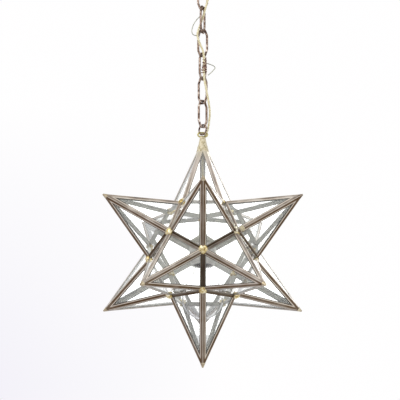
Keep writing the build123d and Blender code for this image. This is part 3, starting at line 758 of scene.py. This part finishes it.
def lump(name, place, out, size, flat, seed, body, finish=SOLDER, tall=1.0):
    """An uneven blob of solder. Where tall is over 1 it is drawn out upwards to a drop."""
    ball = bmesh.new()
    bmesh.ops.create_icosphere(ball, subdivisions=4, radius=1.0)
    side = Vector((0, 0, 1)).cross(out).normalized()
    rise = out.cross(side)
    for vert in ball.verts:
        shape = Vector(vert.co)
        swell = 1 + LUMP_SWELL * noise.noise(shape * 1.3 + Vector((seed, 0, 0)))
        swell += LUMP_RIPPLE * noise.noise(shape * 3.4)
        taper = 1 - DROP_NARROWING * max(0.0, shape.y) * min(1.0, (tall - 1) * 3)
        across = side * shape.x * taper + rise * shape.y * tall + out * shape.z * flat * taper
        vert.co = place + across * size * swell
    mesh = bpy.data.meshes.new(name)
    ball.to_mesh(mesh)
    ball.free()
    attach(show(name, mesh, finish), body)


def corner_lumps():
    """One over each corner that the door doesn't touch. The front one is drawn out to a drop."""
    for k, (name, out) in enumerate(sorted(CORNER.items())):
        place = STAR + out * (CORNER_REACH + LUMP_PROUD)
        if name == FRONT_CORNER:
            lump("solder_drop", place + DROP_SHIFT, out, DROP_SIZE, LUMP_FLAT, 1.7, "star", tall=DROP_TALL)
        elif not touches(name, DOOR):
            lump("solder_lump_%s" % name, place, out, LUMP_SIZE, LUMP_FLAT, 3.1 * k, "star")


corner_lumps()


# ---- solder round the cap -----------------------------------------------------------
COLLAR_ROWS = 16
COLLAR_SIDES = 60
COLLAR_TOP = CAP_RIM + 0.0012
COLLAR_TALL = 0.0118
COLLAR_GAP = 0.0003            # out from the cap's rim
COLLAR_RIDGE = 0.0028          # how far the foot stands out over each fold
COLLAR_WAVE = 0.0007
COLLAR_SAG = 0.0016
COLLAR_BORE = 0.86             # the inner wall, as a share of the outer one


def cap_collar():
    """The solder run that joins the cap's rim to the top of the five ridge cames."""
    verts = []
    for row in range(COLLAR_ROWS):
        share = row / (COLLAR_ROWS - 1)
        height = COLLAR_TOP - COLLAR_TALL * share
        for j in range(COLLAR_SIDES):
            angle = 2 * math.pi * j / COLLAR_SIDES
            x = math.cos(angle)
            y = math.sin(angle)
            ridge = 0.5 + 0.5 * math.cos(5 * angle - math.pi / 2)
            radius = CAP_RIM_R + COLLAR_GAP + share * (COLLAR_GAP + COLLAR_RIDGE * ridge)
            radius += COLLAR_WAVE * noise.noise(Vector((3 * x, 3 * y, share * 4)))
            drop = COLLAR_SAG * noise.noise(Vector((2 * x, 2 * y, 9))) * share
            verts.append(Vector((radius * x, radius * y, height + drop)))
    verts += [Vector((v.x * COLLAR_BORE, v.y * COLLAR_BORE, v.z)) for v in reversed(verts)]
    rows = 2 * COLLAR_ROWS
    faces = []
    for row in range(rows):
        here = row * COLLAR_SIDES
        below = (row + 1) % rows * COLLAR_SIDES
        for j in range(COLLAR_SIDES):
            after = (j + 1) % COLLAR_SIDES
            faces.append((here + j, here + after, below + after, below + j))
    collar = mesh_object("cap_collar", verts, faces, CAP)
    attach(collar, "star")


cap_collar()


# ---- bright solder where the door shuts ---------------------------------------------
SEAM_TOP = "L0U0U1"            # the door's front corner
SEAM_FOOT = "L0L1U1"
# Up the next spike's edge from the door's front corner: share of the edge, millimetres aside, millimetres
# across.
EDGE_DABS = ((0.02, -0.9, 2.0), (0.05, 1.2, 2.3), (0.08, -1.1, 1.9), (0.11, 0.8, 1.5), (0.15, -0.4, 1.1))
EDGE_PROUD = 0.0022
# Down the seam: share of its length, millimetres across.
SEAM_DABS = ((0.14, 1.3), (0.25, 1.6), (0.31, 1.1), (0.46, 1.5), (0.58, 1.2), (0.72, 1.0))
SEAM_PROUD = 0.0010
SEAM_ASIDE = 0.0034
DAB_FLAT = 0.6
BEAD_SIZE = 0.0046
BEAD_SHARE = 0.075             # of the door's edge, from its front corner
BEAD_PROUD = 0.0006


def seam_dabs():
    """Bright ragged solder where the door shuts: at its front corner, and down the seam below it."""
    corner = point_of_corner(SEAM_TOP)
    foot = point_of_corner(SEAM_FOOT)
    tip = point_of_spike("U0")
    out = (corner - STAR).normalized()
    side = (tip - corner).cross(out).normalized()
    spots = []
    for share, aside, size in EDGE_DABS:
        spots.append((corner.lerp(tip, share) + out * EDGE_PROUD + side * aside / 1000, size / 1000))
    for share, size in SEAM_DABS:
        place = corner.lerp(foot, share)
        away = (point_of_spike("L0") - place).normalized()
        spots.append((place + out * SEAM_PROUD + away * SEAM_ASIDE, size / 1000))
    for k, (place, size) in enumerate(spots):
        lump("seam_dab_%d" % (k + 1), place, out, size, DAB_FLAT, 5.3 * k, "star", STRAP)
    bead = corner.lerp(point_of_spike(DOOR), BEAD_SHARE) + out * BEAD_PROUD
    lump("door_bead", bead, out, BEAD_SIZE, DAB_FLAT, 2.2, "door", CAP)


seam_dabs()


# ---- camera, at the photograph's viewing angle --------------------------------------
YAW = math.radians(0.24)
TILT = math.radians(14.24)     # looking up
SENSOR = 36.0                  # millimetres
LENS = 342.35                  # millimetres
CAMERA_BACK = 5.642            # from the star's centre
CAMERA_LEFT = 0.0040
CAMERA_RISE = 0.0786


def photograph_view():
    right = Vector((math.cos(YAW), -math.sin(YAW), 0))
    ahead = Vector((math.sin(YAW) * math.cos(TILT), math.cos(YAW) * math.cos(TILT), math.sin(TILT)))
    up = right.cross(ahead)
    camera = bpy.data.cameras.new("camera")
    camera.sensor_width = SENSOR
    camera.lens = LENS
    camera.clip_start = 0.5
    camera.clip_end = 60.0
    viewer = bpy.data.objects.new("camera", camera)
    bpy.context.scene.collection.objects.link(viewer)
    viewer.location = STAR - right * CAMERA_LEFT + up * CAMERA_RISE - ahead * CAMERA_BACK
    viewer.rotation_mode = "QUATERNION"
    viewer.rotation_quaternion = ahead.to_track_quat("-Z", "Y")
    bpy.context.scene.camera = viewer


photograph_view()


# ---- light and background -----------------------------------------------------------
WALL = (1.0, 0.995, 0.998)
# the wall's painted shade towards the lower left
WALL_SHADE_LOW_LEFT = (0.9, 0.885, 0.945)
ROOM = (0.99, 0.99, 1.0, 1)    # with its alpha
ROOM_STRENGTH = 0.75
# Each lamp: name, place, width, watts, colour.
LAMPS = (
    ("key", (-1.6, -1.6, 0.9), 1.2, 26, (1.0, 0.99, 0.97)),
    ("fill", (1.9, -1.5, 0.2), 1.4, 12, (0.96, 0.98, 1.0)),
    ("back", (0.4, 2.0, 0.6), 1.5, 14, (1.0, 1.0, 1.0)),
)


def studio():
    """A white wall for the camera, for reflections and through the glass, and a softer room light."""
    world = bpy.data.worlds.new("studio")
    bpy.context.scene.world = world
    world.use_nodes = True
    tree = world.node_tree
    tree.nodes.clear()
    # The sight line's X and Z over the photograph's lower left part, where the wall turns lavender.
    sight = split(tree, node(tree, "ShaderNodeTexCoord").outputs["Generated"])
    leftward = mapped(tree, sight.outputs["X"], 0.01, -0.05, 0.0, 1.0)
    downward = mapped(tree, sight.outputs["Z"], 0.27, 0.2, 0.0, 1.0)
    # painted shade on the wall: darker and lavender towards the lower left
    low_left_shade = math_node(tree, "MULTIPLY", leftward, downward)
    wall = node(tree, "ShaderNodeBackground")
    tree.links.new(layer(tree, low_left_shade, WALL, WALL_SHADE_LOW_LEFT), wall.inputs["Color"])
    wall.inputs["Strength"].default_value = 1.0
    room = node(tree, "ShaderNodeBackground")
    room.inputs["Color"].default_value = ROOM
    room.inputs["Strength"].default_value = ROOM_STRENGTH
    rays = node(tree, "ShaderNodeLightPath")
    seen = math_node(tree, "MAXIMUM", rays.outputs["Is Camera Ray"], rays.outputs["Is Transmission Ray"])
    seen = math_node(tree, "MAXIMUM", seen, rays.outputs["Is Glossy Ray"])
    mix = node(tree, "ShaderNodeMixShader")
    tree.links.new(seen, mix.inputs["Fac"])
    tree.links.new(room.outputs["Background"], mix.inputs[1])
    tree.links.new(wall.outputs["Background"], mix.inputs[2])
    surface = node(tree, "ShaderNodeOutputWorld")
    tree.links.new(mix.outputs["Shader"], surface.inputs["Surface"])


def lamp(name, place, size, watts, colour):
    light = bpy.data.lights.new(name, "AREA")
    light.shape = "RECTANGLE"
    light.size = size
    light.size_y = size
    light.energy = watts
    light.color = colour
    holder = bpy.data.objects.new(name, light)
    bpy.context.scene.collection.objects.link(holder)
    holder.location = place
    holder.rotation_mode = "QUATERNION"
    holder.rotation_quaternion = (STAR - Vector(place)).to_track_quat("-Z", "Y")


studio()
for settings in LAMPS:
    lamp(*settings)
bpy.context.scene.view_settings.view_transform = "Standard"
